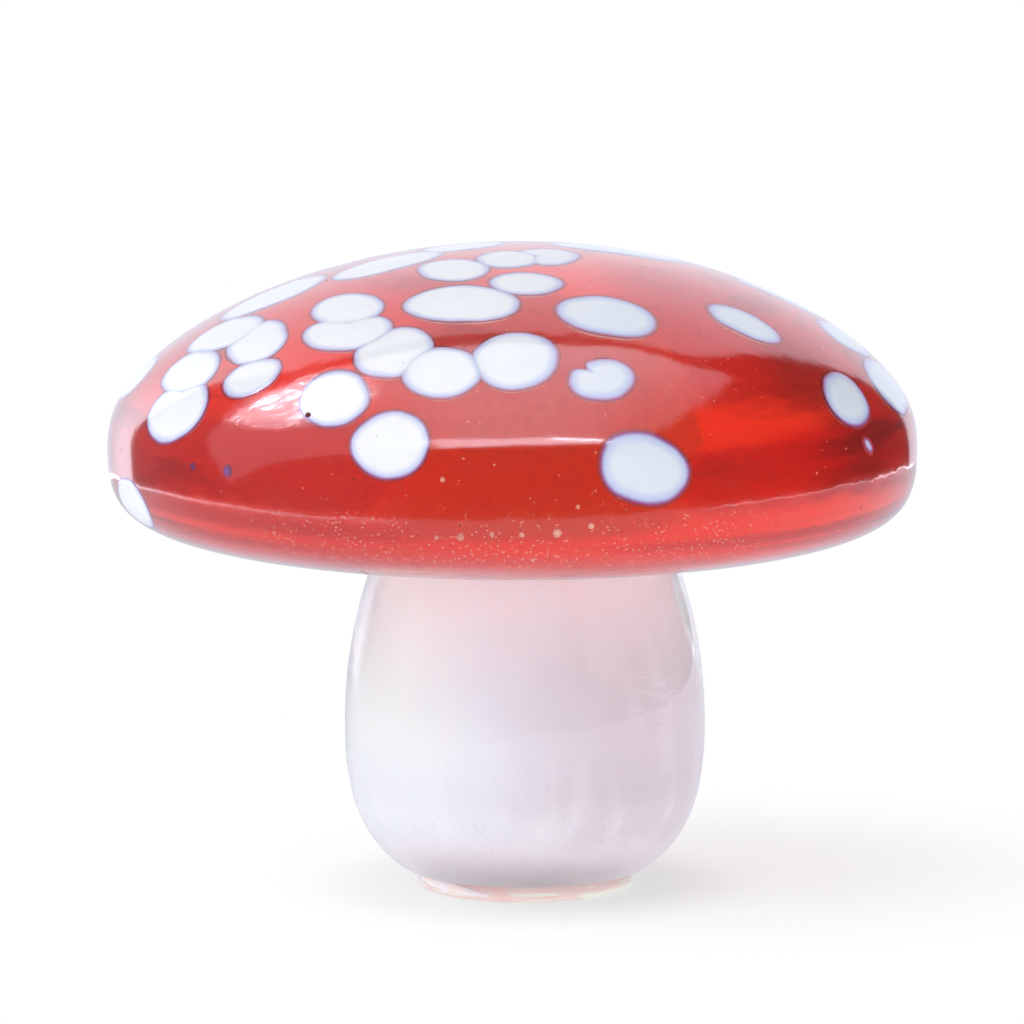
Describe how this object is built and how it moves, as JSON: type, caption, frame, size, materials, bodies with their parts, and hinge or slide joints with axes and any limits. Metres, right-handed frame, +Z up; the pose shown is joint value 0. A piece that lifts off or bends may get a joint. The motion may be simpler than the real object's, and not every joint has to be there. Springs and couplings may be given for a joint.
{
  "type": "glass mushroom ornament",
  "caption": "Solid glass toadstool paperweight: a clear ruby domed cap set with white chips on a bulbous clear stem round a milky pink core, standing on a small flat foot.",
  "frame": {"origin": "centre of the flat foot, on the surface that the ornament stands on", "axes": "+Z up the stem's axis to the cap; -Y towards the side that the picture shows, +X to its right"},
  "size_m": [0.1, 0.1, 0.0799],
  "materials": {
    "ruby_glass": "clear ruby glass, fire-polished, with fine seeds",
    "white_glass": "opaque bluish white glass, flush and glossy",
    "opal_glass": "milky pink-white opal glass",
    "clear_glass": "clear glass, fire-polished"
  },
  "bodies": {
    "root": {"cap_body": "ruby_glass", "stem_core": "opal_glass", "stem_casing": "clear_glass", "foot_pad": "clear_glass", "spot_01": "white_glass", "spot_02": "white_glass", "spot_03": "white_glass", "spot_04": "white_glass", "spot_05": "white_glass", "spot_06": "white_glass", "spot_07": "white_glass", "spot_08": "white_glass", "spot_09": "white_glass", "spot_10": "white_glass", "spot_11": "white_glass", "spot_12": "white_glass", "spot_13": "white_glass", "spot_14": "white_glass", "spot_15": "white_glass", "spot_16": "white_glass", "spot_17": "white_glass", "spot_18": "white_glass", "spot_19": "white_glass", "spot_20": "white_glass", "spot_21": "white_glass", "spot_22": "white_glass", "spot_23": "white_glass", "spot_24": "white_glass", "spot_25": "white_glass", "spot_26": "white_glass", "spot_27": "white_glass", "spot_28": "white_glass", "spot_29": "white_glass", "spot_30": "white_glass", "spot_31": "white_glass", "spot_32": "white_glass", "spot_33": "white_glass", "spot_34": "white_glass", "spot_35": "white_glass", "spot_36": "white_glass", "spot_37": "white_glass", "spot_38": "white_glass", "spot_39": "white_glass", "spot_40": "white_glass", "spot_41": "white_glass", "spot_42": "white_glass", "spot_43": "white_glass", "spot_44": "white_glass", "spot_45": "white_glass", "spot_46": "white_glass", "spot_47": "white_glass", "spot_48": "white_glass", "spot_49": "white_glass", "spot_50": "white_glass", "spot_51": "white_glass", "spot_52": "white_glass"}
  },
  "joints": []
}
